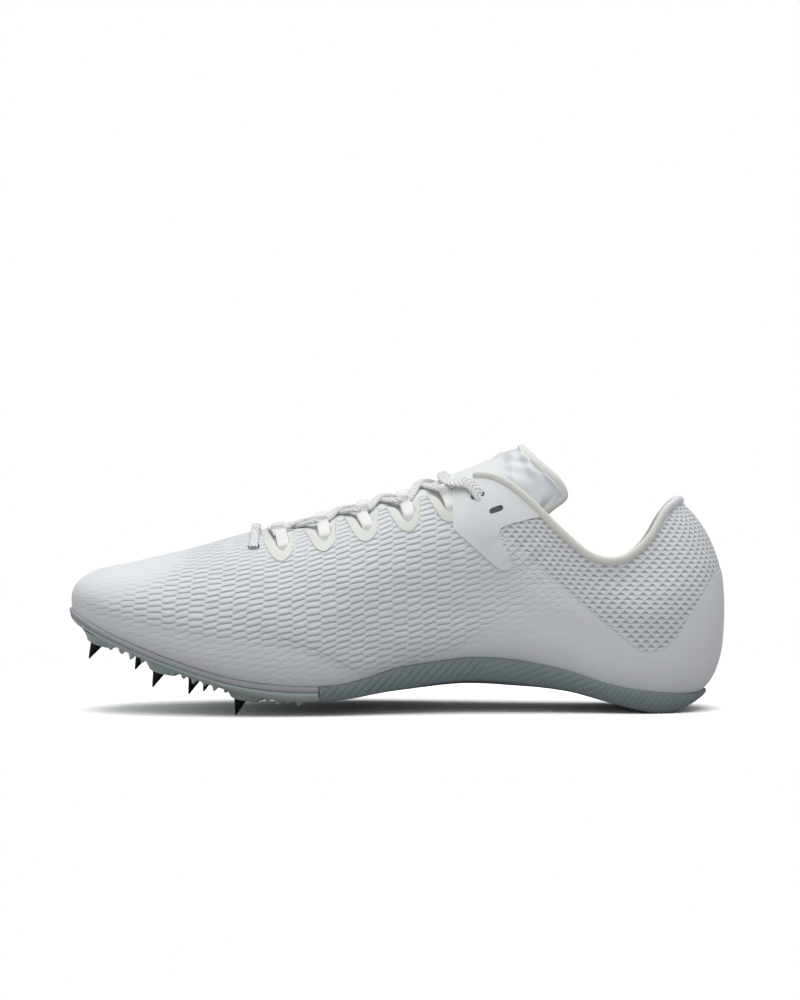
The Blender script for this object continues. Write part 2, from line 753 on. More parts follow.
@dataclass(frozen=True)
class KnitFinish(Finish):
    """Polyester knit whose inlay stands up in slanted pads, with an open mesh in the quarter and heel.

    The pads lie in rows that follow the sole, each with a dark groove under its lower edge, and the mesh is a
    net of triangular holes in staggered rows.
    """

    pad_width: float = 6.4
    pad_row: float = 2.85
    pad_slant: float = 0.6
    # Height across a row of pads, from the groove under its lower edge up to the next row
    pad_shape: tuple[tuple[float, float], ...] = (
        (0.0, 0.3), (0.12, 0.05), (0.3, 0.75), (0.55, 1.0), (0.85, 0.8), (1.0, 0.3))
    mesh_cells: Cells = Cells(4.4, 2.05, 0.5)
    hole: str = "#b3b6bc"
    hole_softness: float = 0.25
    length: float = 284.0
    height: float = 104.0
    # Lower edge of the open mesh, and strength of the pads, along the shoe
    mesh_edge: tuple[tuple[float, float], ...] = (
        (0.0, 1.0), (0.645, 1.0), (0.65, 0.765), (0.68, 0.69), (0.786, 0.435), (0.841, 0.31), (0.864, 0.263),
        (0.88, 0.25), (0.894, 0.256), (0.912, 0.288), (0.926, 0.337), (0.946, 0.425), (0.966, 0.51),
        (0.985, 0.584), (1.0, 0.6))
    pad_strength: tuple[tuple[float, float], ...] = (
        (0.0, 0.3), (0.08, 0.6), (0.2, 1.0), (0.36, 1.0), (0.56, 0.85), (0.66, 0.35),
        (0.71, 0.1), (1.0, 0.05))
    # Below the first line and above the second, along the shoe, the pads are pressed flat
    pad_floor: tuple[tuple[float, float], ...] = (
        (0.0, 0.44), (0.053, 0.42), (0.19, 0.355), (0.35, 0.29), (0.44, 0.19), (0.56, 0.2),
        (0.64, 0.4), (1.0, 0.4))
    pad_roof: tuple[tuple[float, float], ...] = (
        (0.0, 0.46), (0.1, 0.54), (0.16, 0.64), (0.2, 0.8), (0.25, 1.0), (1.0, 1.0))
    pressed: float = 0.22
    # The seam of the forefoot's lining, which shows through from the vamp to the arch
    seam: tuple[tuple[float, float], ...] = (
        (0.0, 0.5), (0.244, 0.407), (0.349, 0.303), (0.383, 0.27), (0.441, 0.177), (1.0, 0.0))
    seam_width: float = 0.004
    seam_depth: float = 0.55

    def curve(self, tree: Tree, value: Socket, points: Sequence[tuple[float, float]],
              handles: str = "VECTOR") -> Socket:
        """A curve drawn by hand.

        Args:
            tree: the material's node tree.
            value: where along the curve, from 0 to 1.
            points: the curve's points in order.
            handles: VECTOR for straight stretches or AUTO for round ones.

        Returns:
            The curve's height at the value.
        """
        height = add(tree, "FloatCurve", {"Value": value})
        line = height.node.mapping.curves[0]
        line.points[0].location = points[0]
        line.points[1].location = points[-1]
        for point in points[1:-1]:
            line.points.new(*point)
        for point in line.points:
            point.handle_type = handles
        height.node.mapping.update()
        return height

    def pattern(self, tree: Tree) -> tuple[Socket, Socket]:
        """Pads ahead and mesh behind, parted by the edge curve, over a fine yarn grain."""
        cloth = add(tree, "UVMap", uv_map="cloth")
        place = add(tree, "TexCoord", output="Object")
        side = add(tree, "SeparateXYZ", {0: place}).node
        x = ramp(tree, side.outputs[0], (-0.5 * self.length * MM, 0.5 * self.length * MM))
        z = ramp(tree, side.outputs[2], (0.0, self.height * MM))
        pads = self.pads(tree, cloth)
        strength = self.curve(tree, x, self.pad_strength)
        hole = self.holes(tree, cloth)
        edge = self.curve(tree, x, self.mesh_edge)
        above = math(tree, "SUBTRACT", z, edge)
        open_mesh = ramp(tree, above, (0.0, 0.012))
        yarn = add(tree, "TexNoise", {"Vector": cloth, "Scale": 2.2, "Detail": 4.0})
        for points, low, high in ((self.pad_floor, -0.03, 0.03), (self.pad_roof, 0.0, -0.09)):
            over = math(tree, "SUBTRACT", z, self.curve(tree, x, points))
            mask = ramp(tree, over, (low, high), (self.pressed, 1.0), smooth=True)
            strength = math(tree, "MULTIPLY", strength, mask)
        pad_height = math(tree, "MULTIPLY", pads, strength)
        soft_mesh = ramp(tree, above, (-0.16, -0.02), (0.0, -0.4))
        behind = ramp(tree, x, (0.61, 0.65))
        ahead = ramp(tree, x, (0.77, 0.7))
        soft_mesh = math(tree, "MULTIPLY", soft_mesh, behind)
        soft_mesh = math(tree, "MULTIPLY", soft_mesh, ahead)
        pad_height = math(tree, "MULTIPLY_ADD", hole, soft_mesh, pad_height)
        hole_height = math(tree, "MULTIPLY", hole, -0.55)
        height = add(tree, "Mix", {0: open_mesh, 2: pad_height, 3: hole_height})
        height = math(tree, "MULTIPLY_ADD", yarn, 0.16, height)
        base = self.tinted(tree, add(tree, "TexNoise", {"Vector": place, "Scale": 40.0}))
        dark = math(tree, "MULTIPLY", hole, open_mesh)
        below = math(tree, "SUBTRACT", z, self.curve(tree, x, self.seam))
        for gap, start, end in ((below, 0.265, 0.46), (above, 0.68, 1.04)):
            width = math(tree, "ABSOLUTE", gap)
            line = ramp(tree, width, (0.0, self.seam_width), (self.seam_depth, 0.0))
            for limit, way in ((start, 0.04), (end, -0.04)):
                there = ramp(tree, x, (limit, limit + way))
                line = math(tree, "MULTIPLY", line, there)
            dark = math(tree, "MAXIMUM", dark, line)
            height = math(tree, "MULTIPLY_ADD", line, -0.4, height)
        return blend(tree, dark, base, linear(self.hole)), height

    def pads(self, tree: Tree, cloth: Socket) -> Socket:
        """Height of the slanted pads: a saw of rows that steps at each cell and fades out at its two ends."""
        wander = add(tree, "TexNoise", {"Vector": cloth, "Scale": 0.07, "Detail": 2.0}, output="Color")
        wander = add(tree, "VectorMath", {0: wander, "Scale": 3.0}, operation="SCALE")
        moved = add(tree, "VectorMath", {0: cloth, 1: wander}, operation="ADD")
        parts = add(tree, "SeparateXYZ", {0: moved}).node
        along = math(tree, "ABSOLUTE", parts.outputs[0])
        along = math(tree, "DIVIDE", along, self.pad_width)
        across = math(tree, "SUBTRACT", math(tree, "FRACT", along), 0.5)
        up = math(tree, "DIVIDE", parts.outputs[1], self.pad_row)
        up = math(tree, "MULTIPLY_ADD", across, -self.pad_slant, up)
        rise = math(tree, "FRACT", up)
        shape = self.curve(tree, rise, self.pad_shape, "AUTO")
        end = math(tree, "ABSOLUTE", across)
        end = ramp(tree, end, (0.36, 0.5), (1.0, 0.0), smooth=True)
        return add(tree, "Mix", {0: end, 2: 0.72, 3: shape})

    def holes(self, tree: Tree, cloth: Socket) -> Socket:
        """Depth of the mesh's holes: soft triangles, from the greater of a roof and a base plane."""
        across, rise = self.mesh_cells.local(tree, cloth)
        across = math(tree, "ABSOLUTE", across)
        roof = math(tree, "MULTIPLY_ADD", rise, 0.95, math(tree, "MULTIPLY", across, 1.7))
        base = math(tree, "MULTIPLY", rise, -1.55)
        far = math(tree, "SMOOTH_MAX", roof, base, self.hole_softness)
        return ramp(tree, far, (0.62, 0.1), (0.0, 1.0), smooth=True)


@dataclass(frozen=True)
class WeaveFinish(Finish):
    """A woven or ribbed cloth: two crossed waves on the cloth's own places, in threads of a real pitch."""

    thread: float = 0.7
    cross: float = 0.6

    def pattern(self, tree: Tree) -> tuple[Socket, Socket]:
        """Threads both ways as triangle waves, with a slow mottle."""
        cloth = add(tree, "UVMap", uv_map="cloth")
        parts = add(tree, "SeparateXYZ", {0: cloth}).node
        waves = [
            math(tree, "PINGPONG", parts.outputs[axis], self.thread * size)
            for axis, size in ((0, 0.5), (1, 0.5 * self.cross))]
        height = math(tree, "ADD", *waves)
        slow = add(tree, "TexNoise", {"Vector": cloth, "Scale": 0.12, "Detail": 3.0})
        return self.tinted(tree, slow), height


@dataclass(frozen=True)
class CollarFinish(WeaveFinish):
    """The binding tape, which runs into the white padded peak at the back of the heel."""

    peak: str = "#e4e7ea"
    peak_from: float = 110.0
    peak_to: float = 118.0

    def pattern(self, tree: Tree) -> tuple[Socket, Socket]:
        """The tape's weave, mixed with the knit's white towards the peak."""
        colour, height = super().pattern(tree)
        place = add(tree, "SeparateXYZ", {0: add(tree, "TexCoord", output="Object")})
        near = ramp(tree, place, (self.peak_from * MM, self.peak_to * MM))
        return blend(tree, near, colour, linear(self.peak)), height


@dataclass(frozen=True)
class BraidFinish(Finish):
    """A braided lace: white and silver strands in a herring-bone that meets along the middle of each face."""

    strand: float = 0.95
    face: float = 4.8
    fleck: str = "#aeb2b9"
    fleck_share: float = 0.9

    def pattern(self, tree: Tree) -> tuple[Socket, Socket]:
        """Stripes of equal length along plus distance from the lace's edge, silver where they are low."""
        cloth = add(tree, "UVMap", uv_map="cloth")
        parts = add(tree, "SeparateXYZ", {0: cloth}).node
        inward = math(tree, "PINGPONG", parts.outputs[1], 0.5 * self.face)
        slanted = math(tree, "ADD", parts.outputs[0], inward)
        height = math(tree, "PINGPONG", slanted, self.strand)
        height = math(tree, "DIVIDE", height, self.strand)
        silver = ramp(tree, height, (0.5, 0.2), smooth=True)
        patch = add(tree, "TexNoise", {"Vector": cloth, "Scale": 0.45, "Detail": 2.0})
        patch = ramp(tree, patch, (0.35, 0.65), (0.15, self.fleck_share))
        flecked = math(tree, "MULTIPLY", silver, patch)
        white = self.tinted(tree, patch)
        return blend(tree, flecked, white, linear(self.fleck)), height


# The shoe's finishes, named for the real materials, each under what it gives the eye. The values are the
# name, the colour, the roughness, the grain in millimetres, the bump and the mottle

# Pale knit whose raised pads catch the light along their upper edges, and fade into shade at the grooves
KNIT = KnitFinish("polyester_inlay_knit", "#e4e7ea", 0.72, 1.15, 0.8, 0.02, (("Sheen Weight", 0.15),))
# A dull, slightly darker inside, so that the shoe looks hollow
LINING = WeaveFinish("polyester_tricot_lining", "#c9cccf", 0.85, 0.3, 0.3, 0.03, thread=0.8)
# Smooth and even, with a broad soft highlight round the heel
OVERLAY = Finish("matte_tpu_coated_cloth", "#e6e9eb", 0.55, 0.5, 0.12, 0.015)
# The flattest white of the upper, with threads that show only near by
PANEL = WeaveFinish("fused_microfibre", "#e9ecee", 0.6, 0.25, 0.2, 0.02, thread=0.6)
# Warmer than the knit, milky at its edges and with a thin gloss
FILM = Finish("clear_tpu_film", "#dadbd4", 0.32, 0.9, 0.15, 0.03, (
    ("Subsurface Weight", 0.2), ("Subsurface Scale", 0.002), ("Coat Weight", 0.25), ("Coat Roughness", 0.2)))
# A cream ribbed tape with a faint bloom
PIPING = WeaveFinish("elastane_binding_tape", "#e5e6de", 0.8, 0.25, 0.45, 0.03, (("Sheen Weight", 0.2),),
                     thread=0.7)
# The same tape, which turns as white as the knit at the heel
COLLAR = CollarFinish("elastane_collar_binding", PIPING.colour, 0.8, 0.25, 0.45, 0.03, PIPING.extras,
                      thread=0.7)
# Plain white cloth with an even, open weave
TONGUE = WeaveFinish("plain_woven_polyester", "#e6e9e9", 0.6, 0.3, 0.3, 0.03, thread=0.9)
# Folds that shine along their crests
SATIN = WeaveFinish("gathered_polyester_satin", "#dfe3e7", 0.34, 0.5, 0.2, 0.05, (("Sheen Weight", 0.3),),
                    thread=0.5)
# Soft mid grey that takes the light without a highlight
SOCK = WeaveFinish("brushed_sockliner_cloth", "#b4b8bb", 0.9, 0.4, 0.4, 0.05, (("Sheen Weight", 0.3),))
# Cool slate foam with a fine skin and a weak highlight
FOAM = Finish("moulded_eva_foam", "#838e93", 0.72, 0.8, 0.25, 0.05)
# Smooth grey rubber, a thin line under the upper
LIP = Finish("moulded_rubber_rand", "#adafb6", 0.6, 0.5, 0.12, 0.03)
# Pale green-grey nylon that light enters, so that its bosses glow a little and its edges shine
PLATE = Finish("translucent_polyether_nylon", "#d2e0de", 0.34, 1.5, 0.12, 0.04, (
    ("Transmission Weight", 0.35), ("IOR", 1.5), ("Subsurface Weight", 0.25), ("Subsurface Scale", 0.004)))
# Near black metal with narrow glints along its four edges
STEEL = Finish("black_oxide_steel", "#1b1d1f", 0.38, 0.3, 0.15, 0.1, (("Metallic", 0.7),))
# White strands flecked with silver
BRAID = BraidFinish("flat_polyester_braid", "#f3f4f4", 0.45, 0.5, 0.6, 0.02, (("Sheen Weight", 0.2),))
# The glossiest cloth, bright along its folds
WEBBING = WeaveFinish("glossy_flat_webbing", "#eeeeec", 0.35, 0.35, 0.4, 0.02, (("Coat Weight", 0.2),),
                      thread=0.9)


# Sub-assemblies

@dataclass
class Throat:
    """The scalloped throat edge: V-shaped notches in a row that follows the top line, with the lace slots."""

    last: Last
    count: int = 5
    first: tuple[float, float] = (322.9, 676.0)
    step: tuple[float, float] = (63.7, 39.7)
    width: float = 5.0
    lean: float = 0.68
    trim: float = 1.3
    above: float = 150.0
    top_slot: tuple[float, float] = (620, 904)
    spare_slot: tuple[float, float] = (648, 846)
    front_slot: tuple[float, float] = (79.7, 71.7)

    def floor(self, index: int) -> Array:
        """Where a notch's floor lies, x and z."""
        return self.last.spot(self.first[0] + self.step[0] * index, self.first[1] + self.step[1] * index)

    def outline(self, border: float, under: float, drop: float) -> Array:
        """All that lies above the scalloped edge, as one rounded outline.

        Each notch has a leaning front edge, a round floor and an upright rear edge, and the teeth between
        them end at a level under the top line.

        Args:
            border: how far the notches' edges are set out.
            under: how far their floors are set down.
            drop: how far under the top line the teeth end.

        Returns:
            The outline's points, x and z.
        """
        corners, radii = [], []
        for index in range(self.count):
            x, z = self.floor(index)
            left = x - 0.36 * self.width - border
            foot = z + 0.24 * self.width - under
            level = self.last.top_at(left - 8)[0, 2] - drop if index else self.above
            corners += [(left - self.lean * (level - foot), level), (left, foot),
                        (x - 0.1 * self.width, z - under), (x + 0.2 * self.width, z - under),
                        (x + 0.64 * self.width + border, z + 0.6 * self.width - under)]
            radii += [3.0, 1.6, 1.2, 1.2, 2.2]
            right = x + 0.76 * self.width + border
            top = self.last.top_at(right + 2)[0, 2] - drop if index < self.count - 1 else self.above
            corners.append((right, top))
            radii.append(2.6)
        return rounded(np.array(corners), np.array(radii))

    def slot(self, x: float, z: float, long: float, high: float, rise: float) -> Array:
        """A slot with round ends: a superellipse turned by its rise in degrees."""
        ring = ellipse(long / 2, high / 2, 28, 3.2)
        turn = np.radians(rise)
        return np.stack([x + ring[:, 0] * np.cos(turn) - ring[:, 1] * np.sin(turn),
                         z + ring[:, 0] * np.sin(turn) + ring[:, 1] * np.cos(turn)], axis=1)

    @cached_property
    def slots(self) -> list[Array]:
        """The used and the spare lace slot at the top, and the front slot where the lace starts."""
        return [self.slot(*self.last.spot(*self.top_slot), 6.2, 2.6, 20),
                self.slot(*self.last.spot(*self.spare_slot), 6.2, 2.6, 20),
                self.slot(*self.front_slot, 5.0, 2.4, 5)]


@dataclass
class UpperAssembly:
    """The knit upper with its overlays, eyestay film and panel."""

    bench: Bench
    last: Last
    throat: Throat
    across: float = 96.0
    counter: tuple[tuple[float, float], ...] = (
        (465, 0), (465, 125), (546, 231), (627, 298), (732, 337), (813, 341), (863, 263), (880, 250),
        (898, 260), (912, 288), (926, 337), (946, 425), (966, 510), (985, 584), (1021, 596), (1021, 0))
    panel: tuple[tuple[float, float], ...] = (
        (582, 1200), (582, 772), (591, 748), (648, 608), (661, 592), (674, 608), (651, 744), (656, 776),
        (706, 812), (745, 818), (745, 1200))

    def build(self) -> list[Piece]:
        """Makes the upper and what is bonded on it."""
        skin = self.bench.make("skin", [Skin(self.last).sheet()], closed=False)
        pieces = [self.knit(skin), self.heel_overlay(skin)]
        pieces += [piece for side in Side for piece in self.eyestay(skin, side)]
        bpy.data.objects.remove(skin)
        return pieces

    def knit(self, skin: Piece) -> Piece:
        """The knit wall with its notches and slots."""
        piece = self.bench.shell("knit_upper", skin, -self.last.wall, 0.0, (KNIT, LINING))
        for outline in (self.throat.outline(0, 0, self.throat.trim), *self.throat.slots):
            self.bench.combine(piece, self.bench.prism(outline, -self.across, self.across))
        return seat(piece, ["upper"], KNIT)

    def heel_overlay(self, skin: Piece) -> Piece:
        """The smooth layer round the heel and along the arch."""
        piece = self.bench.shell("heel_overlay", skin, -0.1, 0.15)
        outline = rounded(self.last.outline(self.counter), 6.0)
        self.bench.combine(piece, self.bench.prism(outline, -self.across, self.across), "INTERSECT")
        return seat(piece, ["heel_counter"], OVERLAY)

    def eyestay(self, skin: Piece, side: Side) -> list[Piece]:
        """The clear film round the notches of one side and the smooth panel behind them."""
        reach = sorted((0.0, side.value * self.across))
        word = side.name.lower()
        edge = self.last.spot(583, 0)[0]
        film = self.bench.shell(f"throat_film_{word}", skin, -0.1, 0.4)
        self.bench.combine(film, self.bench.prism(self.throat.outline(1.5, 4.2, 0.7), *reach), "INTERSECT")
        span = np.array([(84.0, 0), (edge, 0), (edge, 150), (84.0, 150)])
        self.bench.combine(film, self.bench.prism(span, *reach), "INTERSECT")
        self.bench.combine(film, self.bench.prism(
            self.throat.outline(0, 0, self.throat.trim), -self.across, self.across))
        panel = self.bench.shell(f"eyestay_panel_{word}", skin, -0.1, 0.45)
        outline = rounded(self.last.outline(self.panel), 3.0)
        self.bench.combine(panel, self.bench.prism(outline, *reach), "INTERSECT")
        for slot in self.throat.slots:
            self.bench.combine(panel, self.bench.prism(slot, -self.across, self.across))
        return [seat(film, [f"eyestay_{word}"], FILM),
                seat(panel, [f"eyestay_{word}"], PANEL)]


@dataclass
class Collar:
    """The bound edge of the ankle opening."""

    bench: Bench
    last: Last
    start: float = 9.8
    rise: float = 1.3
    half_width: float = 1.5
    half_height: float = 1.9
    peak_drop: float = 1.9
    peak_out: float = 0.8
    peak_swell: float = 0.25
    peak_sections: float = 2.3
    steps: int = 460

    def build(self) -> Piece:
        """A superellipse carried along the top line with round ends, which swells to a pad at the heel."""
        u = np.linspace(self.start, RING - self.start, self.steps)
        top = self.last.surface(u, np.array([2.0]))[:, 0]
        along = unit(np.gradient(top, axis=0))
        up = unit(UP - along * along[:, 2:])
        peak = smoothstep(self.peak_sections, 0.0, np.abs(u - LAST_SECTION))[:, None]
        path = (top + self.last.outward(u) * (self.peak_out * peak - self.last.wall / 2)
                + up * (self.rise - self.peak_drop * peak))
        section = ellipse(self.half_width, self.half_height, 22, 2.3)
        scale = closing(len(path), 5) * (1 + self.peak_swell * peak[:, 0])
        sheet = sweep(path, np.cross(along, up), section, scale)
        return seat(self.bench.make("collar_binding", [sheet]), ["collar_piping"], COLLAR)


@dataclass
class Tongue:
    """The tongue: an arch about a spine, with its padded satin top and its bound edge."""

    bench: Bench
    last: Last
    thickness: float = 2.0
    binding: float = 1.75
    # Along the spine: x, z, y, width, height, angle in degrees and sweep back, where x is a share of the
    # length, z of the instep height and the others of the ball width
    rows: tuple[tuple[float, ...], ...] = (
        (268, 694, -31, 250, 200, 30, 0), (352, 764, -10, 250, 180, 78, 0), (419, 823, 0, 258, 200, 80, 0),
        (500, 895, 10, 250, 205, 80, 0), (581, 986, 21, 250, 220, 80, 10), (623, 1030, 21, 245, 250, 86, 40),
        (658, 1068, 21, 234, 250, 94, 75), (680, 1092, 21, 226, 250, 96, 120),
        (688, 1100, 21, 222, 250, 90, 140))
    satin_from: float = 0.7
    wing: float = 1.12
    corner: float = 0.25
    sag: float = 0.7
    half_girth: float = 24.0

    def arch(self, t: Array, w: Array, lift: float = 0.0) -> Array:
        """Points of the arch.

        Each falls from the spine by its height times 1 less the cosine of its angle, stands aside by its
        width times the sine, and is swept back along the spine by the square of its place across. Under the
        lace the spine sags by half a sine.

        Args:
            t: places along the spine, from 0 to 1, in a grid.
            w: places across, from -1 to 1 at the wings' edges, in a like grid.
            lift: how far the points stand off the arch.

        Returns:
            The grid of points.
        """
        rows = np.array(self.rows) * PER_MILLE
        ball, last = self.last.ball_width, self.last
        control = np.column_stack([
            rows[:, 0] * last.length, rows[:, 2] * ball, rows[:, 1] * last.instep_height,
            rows[:, 3:5] * ball, np.radians(rows[:, 5] / PER_MILLE), rows[:, 6] * ball])
        places = np.clip(t, 0, 1) * (len(rows) - 1)
        near, at, far = (
            catmull(control, np.clip(places + step, 0, len(rows) - 1).ravel()).reshape(*places.shape, -1)
            for step in (-0.02, 0, 0.02))
        along = unit(far[..., :3] - near[..., :3])
        down = unit(np.stack([along[..., 2], 0 * places, -along[..., 0]], axis=-1))
        angle = at[..., 5] * w
        sag = self.sag * np.sin(np.pi * np.clip((t - 0.2) / 0.6, 0, 1))
        points = (at[..., :3] - UP * sag[..., None]
                  + down * (at[..., 4] * (1 - np.cos(angle)))[..., None]
                  + np.array([0.0, 1.0, 0.0]) * (at[..., 3] * np.sin(angle))[..., None]
                  + along * (at[..., 6] * w**2)[..., None])
        return points + self.facing(points) * lift if lift else points

    def facing(self, points: Array) -> Array:
        """Outward unit normals of a grid on the arch."""
        return unit(np.cross(np.gradient(points, axis=0), np.gradient(points, axis=1)))

    def back_edge(self, w: Array) -> Array:
        """Where the back edge lies along the spine, cut away at the wings so that its corners are round."""
        return 1 - self.corner * smoothstep(0.8, self.wing, np.abs(w)) ** 2

    def build(self) -> list[Piece]:
        """The woven body, the satin top and the binding."""
        split = self.satin_from
        return [self.pad("tongue_body", 0.0, lambda w: split + 0 * w, TONGUE, 0.0),
                self.pad("tongue_satin", split - 0.01, self.back_edge, SATIN, 1.1),
                self.edge()]

    def pad(self, name: str, start: float, end: Callable[[Array], Array], finish: Finish,
            gather: float) -> Piece:
        """A stretch of the tongue as a closed pad whose faces are gathered in soft folds across it.

        Args:
            name: the piece's name.
            start: where it starts along the spine.
            end: where it ends, by the place across.
            finish: its finish.
            gather: height of the folds in millimetres.

        Returns:
            The pad.
        """
        s, w = np.meshgrid(np.linspace(0, 1, 150), np.sin(np.linspace(-0.5, 0.5, 91) * np.pi) * self.wing,
                           indexing="ij")
        t = start + (end(w) - start) * s
        middle = self.arch(t, w)
        normal = self.facing(middle)
        fold = gather * (np.sin(9 * s + 5 * w + 2.2 * np.sin(7 * w + 3)) * np.sin(8 * w + 3 * s)
                         + 0.5 * np.sin(17 * s - 9 * w)) * smoothstep(0, 0.15, s) * smoothstep(1, 0.8, s)
        rim = np.sqrt(np.clip(1 - np.abs(w / self.wing) ** 12, 0, 1))
        rim = (rim * np.sqrt(np.clip(1 - np.abs(2 * s - 1) ** 40, 0, 1)))[..., None]
        outer = middle + normal * (0.6 * fold - 0.05)[..., None] * rim
        inner = middle - normal * (self.thickness + 0.4 * fold)[..., None] * rim
        cloth = np.stack(np.broadcast_arrays(travelled(middle[:, 45])[:, None], w * self.half_girth), axis=-1)
        piece = self.bench.make(name, [Sheet(outer, cloth), Sheet(inner, cloth)])
        return seat(piece, ["tongue"], finish, 60)

    def edge(self) -> Piece:
        """The flat tape bound over the back edge and down both wings."""
        w = np.concatenate([np.full(30, -1.0), np.linspace(-1, 1, 140)[1:-1], np.full(30, 1.0)]) * self.wing
        down = np.concatenate([np.linspace(1, 0, 30), np.zeros(138), np.linspace(0, 1, 30)])
        end = self.back_edge(w) - 0.01
        t = end + (self.satin_from - end) * down
        rows = np.column_stack([self.arch(t, w), self.outward_at(t, w)])
        path = evenly(rows[::3], 0.7)
        sheet = sweep(path[:, :3] - path[:, 3:] * self.thickness / 2, path[:, 3:],
                      ellipse(self.thickness * 0.68, self.binding, 20, 2.6), closing(len(path)))
        return seat(self.bench.make("tongue_binding", [sheet]), ["tongue"], PIPING)

    def outward_at(self, t: Array, w: Array) -> Array:
        """Unit normals of the arch at places along it, from a small patch about each."""
        step = 0.01
        along = self.arch(t + 0 * w, w) - self.arch(t - step, w)
        across = self.arch(t, w + step) - self.arch(t, w - step)
        return unit(np.cross(along, across))


@dataclass(frozen=True)
class Layer:
    """A layer of the sole between two places, its edge as outsets in millimetres and shares of its depth."""

    start: float
    end: float
    top: Callable[[dict[str, Array]], Array]
    bottom: Callable[[dict[str, Array]], Array]
    edge: Array
    belly: float = 0.0
    belly_share: float = 0.04
    across: int = 24
    steps: int = 260

    def sheet(self, last: Last, relief: Callable[[Array, Array, Array], Array] | None = None) -> Sheet:
        """The closed grid of the layer.

        Each section runs over the top from the medial edge, down the lateral edge, back under the bottom,
        which hangs by a parabola, and up the medial edge. A cut end is closed by a section at its own middle.

        Args:
            last: the last that it follows.
            relief: how far the edge's points stand out, by length along, height and side.

        Returns:
            The grid, closed round each section.
        """
        s = np.linspace(self.start, self.end, self.steps)
        sides = []
        for places in (s, RING - s):
            at, out = last.station(places), last.outward(places)
            top, bottom = self.top(at), self.bottom(at)
            height = top[:, None] + (bottom - top)[:, None] * self.edge[None, :, 1]
            base = np.stack([at["x"], at["y"], 0 * s], axis=-1)[:, None] + UP * height[..., None]
            outset = self.edge[None, :, 0] + 0 * height
            if relief is not None:
                outset = outset + relief(base[..., 0], base[..., 2], self.edge[None, :, 1] + 0 * height)
            sides.append(base + out[:, None] * outset[..., None])
        medial, lateral = sides
        w = np.linspace(0, 1, self.across + 1)[None, 1:-1, None]
        over = medial[:, :1] + (lateral[:, :1] - medial[:, :1]) * w
        under = lateral[:, -1:] + (medial[:, -1:] - lateral[:, -1:]) * w
        width = np.abs(lateral[:, 0, 1] - medial[:, 0, 1])
        hang = np.minimum(self.belly, width * self.belly_share)[:, None] * (1 - (2 * w[..., 0] - 1) ** 2)
        under = under - UP * hang[..., None]
        grid = np.concatenate([medial[:, :1], over, lateral, under, medial[:, ::-1]], axis=1)
        grid[..., 2] = np.maximum(grid[..., 2], 0)
        for end in (0, -1):
            if np.ptp(grid[end, :, 1]) > 1:
                hub = np.broadcast_to(grid[end, :-1].mean(axis=0), grid[end].shape)[None]
                grid = np.concatenate([hub, grid] if end == 0 else [grid, hub])
        return Sheet(grid, np.stack([grid[..., 0], travelled(grid, 1)], axis=-1))


def round_edge(outset: float, tuck: float, rows: int, power: float = 2.5) -> Array:
    """A layer's rounded edge: a superellipse over the depth, less the tuck times the depth squared."""
    depth = (1 - np.cos(np.linspace(0, np.pi, rows))) / 2
    swell = (1 - np.abs(2 * depth - 1) ** power) ** (1 / power)
    return np.stack([outset * swell - tuck * depth**2, depth], axis=1)


@dataclass(frozen=True)
class Spike:
    """A screw-in spike: its seat on the plate in thousandths, its lean and whether it reaches the floor."""

    x: float
    y: float
    lean: float
    floor: bool


